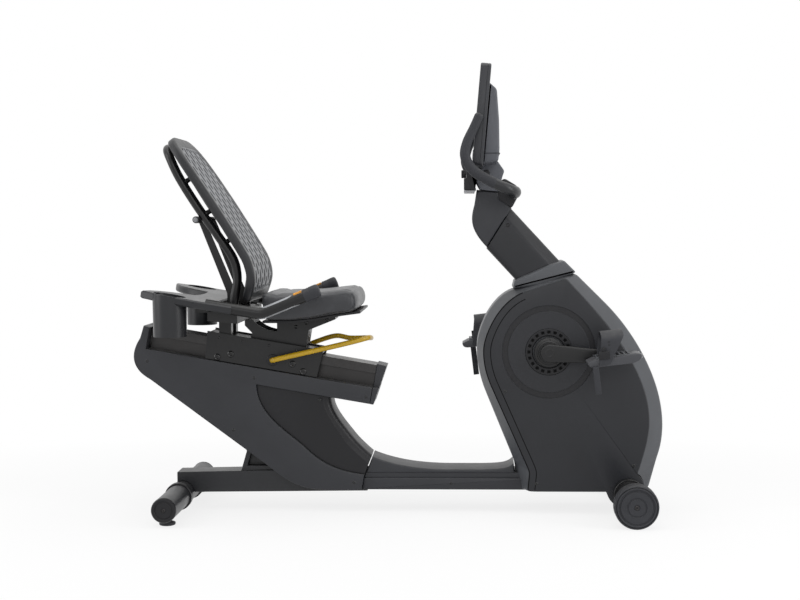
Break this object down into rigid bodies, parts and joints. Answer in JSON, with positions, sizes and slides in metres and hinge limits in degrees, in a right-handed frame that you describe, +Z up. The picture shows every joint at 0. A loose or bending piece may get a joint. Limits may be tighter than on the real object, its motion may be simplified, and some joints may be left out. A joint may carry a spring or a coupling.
{
  "type": "recumbent exercise bike",
  "caption": "Recumbent exercise bike: low base with stabilisers, shrouded belt drive with pedals, console on a leaning mast, and a seat with backrest that slides on a sloping rail.",
  "frame": {"origin": "on the floor, under the middle of the whole length and width", "axes": "+X the way the rider faces, +Y the rider's left, +Z up"},
  "size_m": [1.542, 0.606, 1.2895],
  "materials": {
    "frame_paint": "charcoal powder coat, fine satin",
    "black_paint": "black powder coat, satin",
    "rail_aluminium": "dark anodised, brushed along its length",
    "charcoal_shell": "moulded charcoal plastic with a fine texture",
    "shroud_rim": "lighter satin grey moulded plastic",
    "black_plastic": "moulded black plastic, satin",
    "tray_plastic": "black moulded plastic with a polished top",
    "back_panel": "dark grey moulded plastic with rows of short slots",
    "bright_steel": "turned steel",
    "flywheel_iron": "turned cast iron",
    "rubber": "black moulded rubber",
    "vinyl": "black padded vinyl with sewn panels",
    "screen_glass": "black display glass",
    "yellow_paint": "yellow gloss paint",
    "yellow_plastic": "yellow gloss plastic"
  },
  "bodies": {
    "frame": {"rear_stabiliser": "frame_paint", "stabiliser_cap_right": "black_plastic", "stabiliser_cap_left": "black_plastic", "front_stabiliser": "black_paint", "rear_frame": "frame_paint", "base_beam": "black_paint", "front_upright": "black_paint", "seat_rail": "rail_aluminium", "rail_end_cap": "black_plastic", "rear_cover_right": "charcoal_shell", "rear_cover_left": "charcoal_shell", "inner_cover_right": "black_plastic", "inner_cover_left": "black_plastic", "base_cover": "charcoal_shell", "shroud_shell_right": "shroud_rim", "shroud_shell_left": "shroud_rim", "shroud_panel_right": "charcoal_shell", "shroud_panel_left": "charcoal_shell", "vent_ring_right": "black_plastic", "vent_ring_left": "black_plastic", "mast": "frame_paint", "neck_cover": "charcoal_shell", "mast_collar": "charcoal_shell", "console_bezel": "black_plastic", "console_screen": "screen_glass", "console_housing": "charcoal_shell", "console_handlebar": "black_paint", "handlebar_clamp": "black_plastic", "control_pod": "black_plastic", "drive_belt": "rubber"},
    "right_foot": {"levelling_foot_right": "rubber"},
    "left_foot": {"levelling_foot_left": "rubber"},
    "right_wheel": {"wheel_right": "rubber"},
    "left_wheel": {"wheel_left": "rubber"},
    "dial": {"control_dial": "black_plastic"},
    "crank": {"crank_axle": "bright_steel", "drive_pulley": "black_plastic", "crank_arm_right": "black_paint", "crank_arm_left": "black_paint"},
    "right_pedal": {"pedal_right": "black_plastic", "pedal_strap_right": "rubber"},
    "left_pedal": {"pedal_left": "black_plastic", "pedal_strap_left": "rubber"},
    "flywheel_set": {"flywheel": "flywheel_iron"},
    "seat": {"carriage": "black_paint", "seat_bracket": "black_paint", "seat_pan": "black_plastic", "seat_cushion": "vinyl", "backrest": "back_panel", "back_tube": "black_paint", "back_brace": "black_paint", "tray": "tray_plastic", "handle_right": "black_paint", "handle_left": "black_paint", "grip_right": "rubber", "grip_left": "rubber", "arm_frame": "black_paint"},
    "lever": {"release_lever": "yellow_paint"},
    "right_button": {"grip_button_right": "yellow_plastic"},
    "left_button": {"grip_button_left": "yellow_plastic"}
  },
  "joints": [
    {"name": "right_foot_screw", "type": "slide", "parent": "frame", "child": "right_foot", "axis": [0, 0, -1], "range_m": [0, 0.012]},
    {"name": "left_foot_screw", "type": "slide", "parent": "frame", "child": "left_foot", "axis": [0, 0, -1], "range_m": [0, 0.012]},
    {"name": "right_wheel_spin", "type": "hinge", "parent": "frame", "child": "right_wheel", "pos_m": [0.668, -0.276, 0.0615], "axis": [0, 1, 0], "continuous": true},
    {"name": "left_wheel_spin", "type": "hinge", "parent": "frame", "child": "left_wheel", "pos_m": [0.668, 0.276, 0.0615], "axis": [0, 1, 0], "continuous": true},
    {"name": "dial_turn", "type": "hinge", "parent": "frame", "child": "dial", "pos_m": [0.197, -0.06, 0.9845], "axis": [1, 0, 0], "continuous": true},
    {"name": "crank_spin", "type": "hinge", "parent": "frame", "child": "crank", "pos_m": [0.439, 0, 0.472], "axis": [0, 1, 0], "continuous": true},
    {"name": "flywheel_spin", "type": "hinge", "parent": "frame", "child": "flywheel_set", "pos_m": [0.6, 0, 0.24], "axis": [0, 1, 0], "continuous": true},
    {"name": "right_pedal_spin", "type": "hinge", "parent": "crank", "child": "right_pedal", "pos_m": [0.61365, -0.19, 0.46101], "axis": [0, 1, 0], "continuous": true},
    {"name": "left_pedal_spin", "type": "hinge", "parent": "crank", "child": "left_pedal", "pos_m": [0.26434, 0.19, 0.48299], "axis": [0, 1, 0], "continuous": true},
    {"name": "seat_slide", "type": "slide", "parent": "frame", "child": "seat", "axis": [0.9854, 0, -0.1702], "range_m": [-0.15, 0.15]},
    {"name": "lever_pull", "type": "hinge", "parent": "seat", "child": "lever", "pos_m": [-0.36293, 0, 0.44813], "axis": [0, -1, 0], "range_deg": [0, 10], "stiffness_Nm_per_rad": 4, "springref_deg": -20.05},
    {"name": "right_button_press", "type": "slide", "parent": "seat", "child": "right_button", "axis": [0.3806, 0, -0.9247], "range_m": [0, 0.002], "stiffness_N_per_m": 800, "springref_m": -0.001},
    {"name": "left_button_press", "type": "slide", "parent": "seat", "child": "left_button", "axis": [0.3806, 0, -0.9247], "range_m": [0, 0.002], "stiffness_N_per_m": 800, "springref_m": -0.001}
  ],
  "couplings": [
    {"joint": "flywheel_spin", "follows": "crank_spin", "ratio": 5.2}
  ]
}
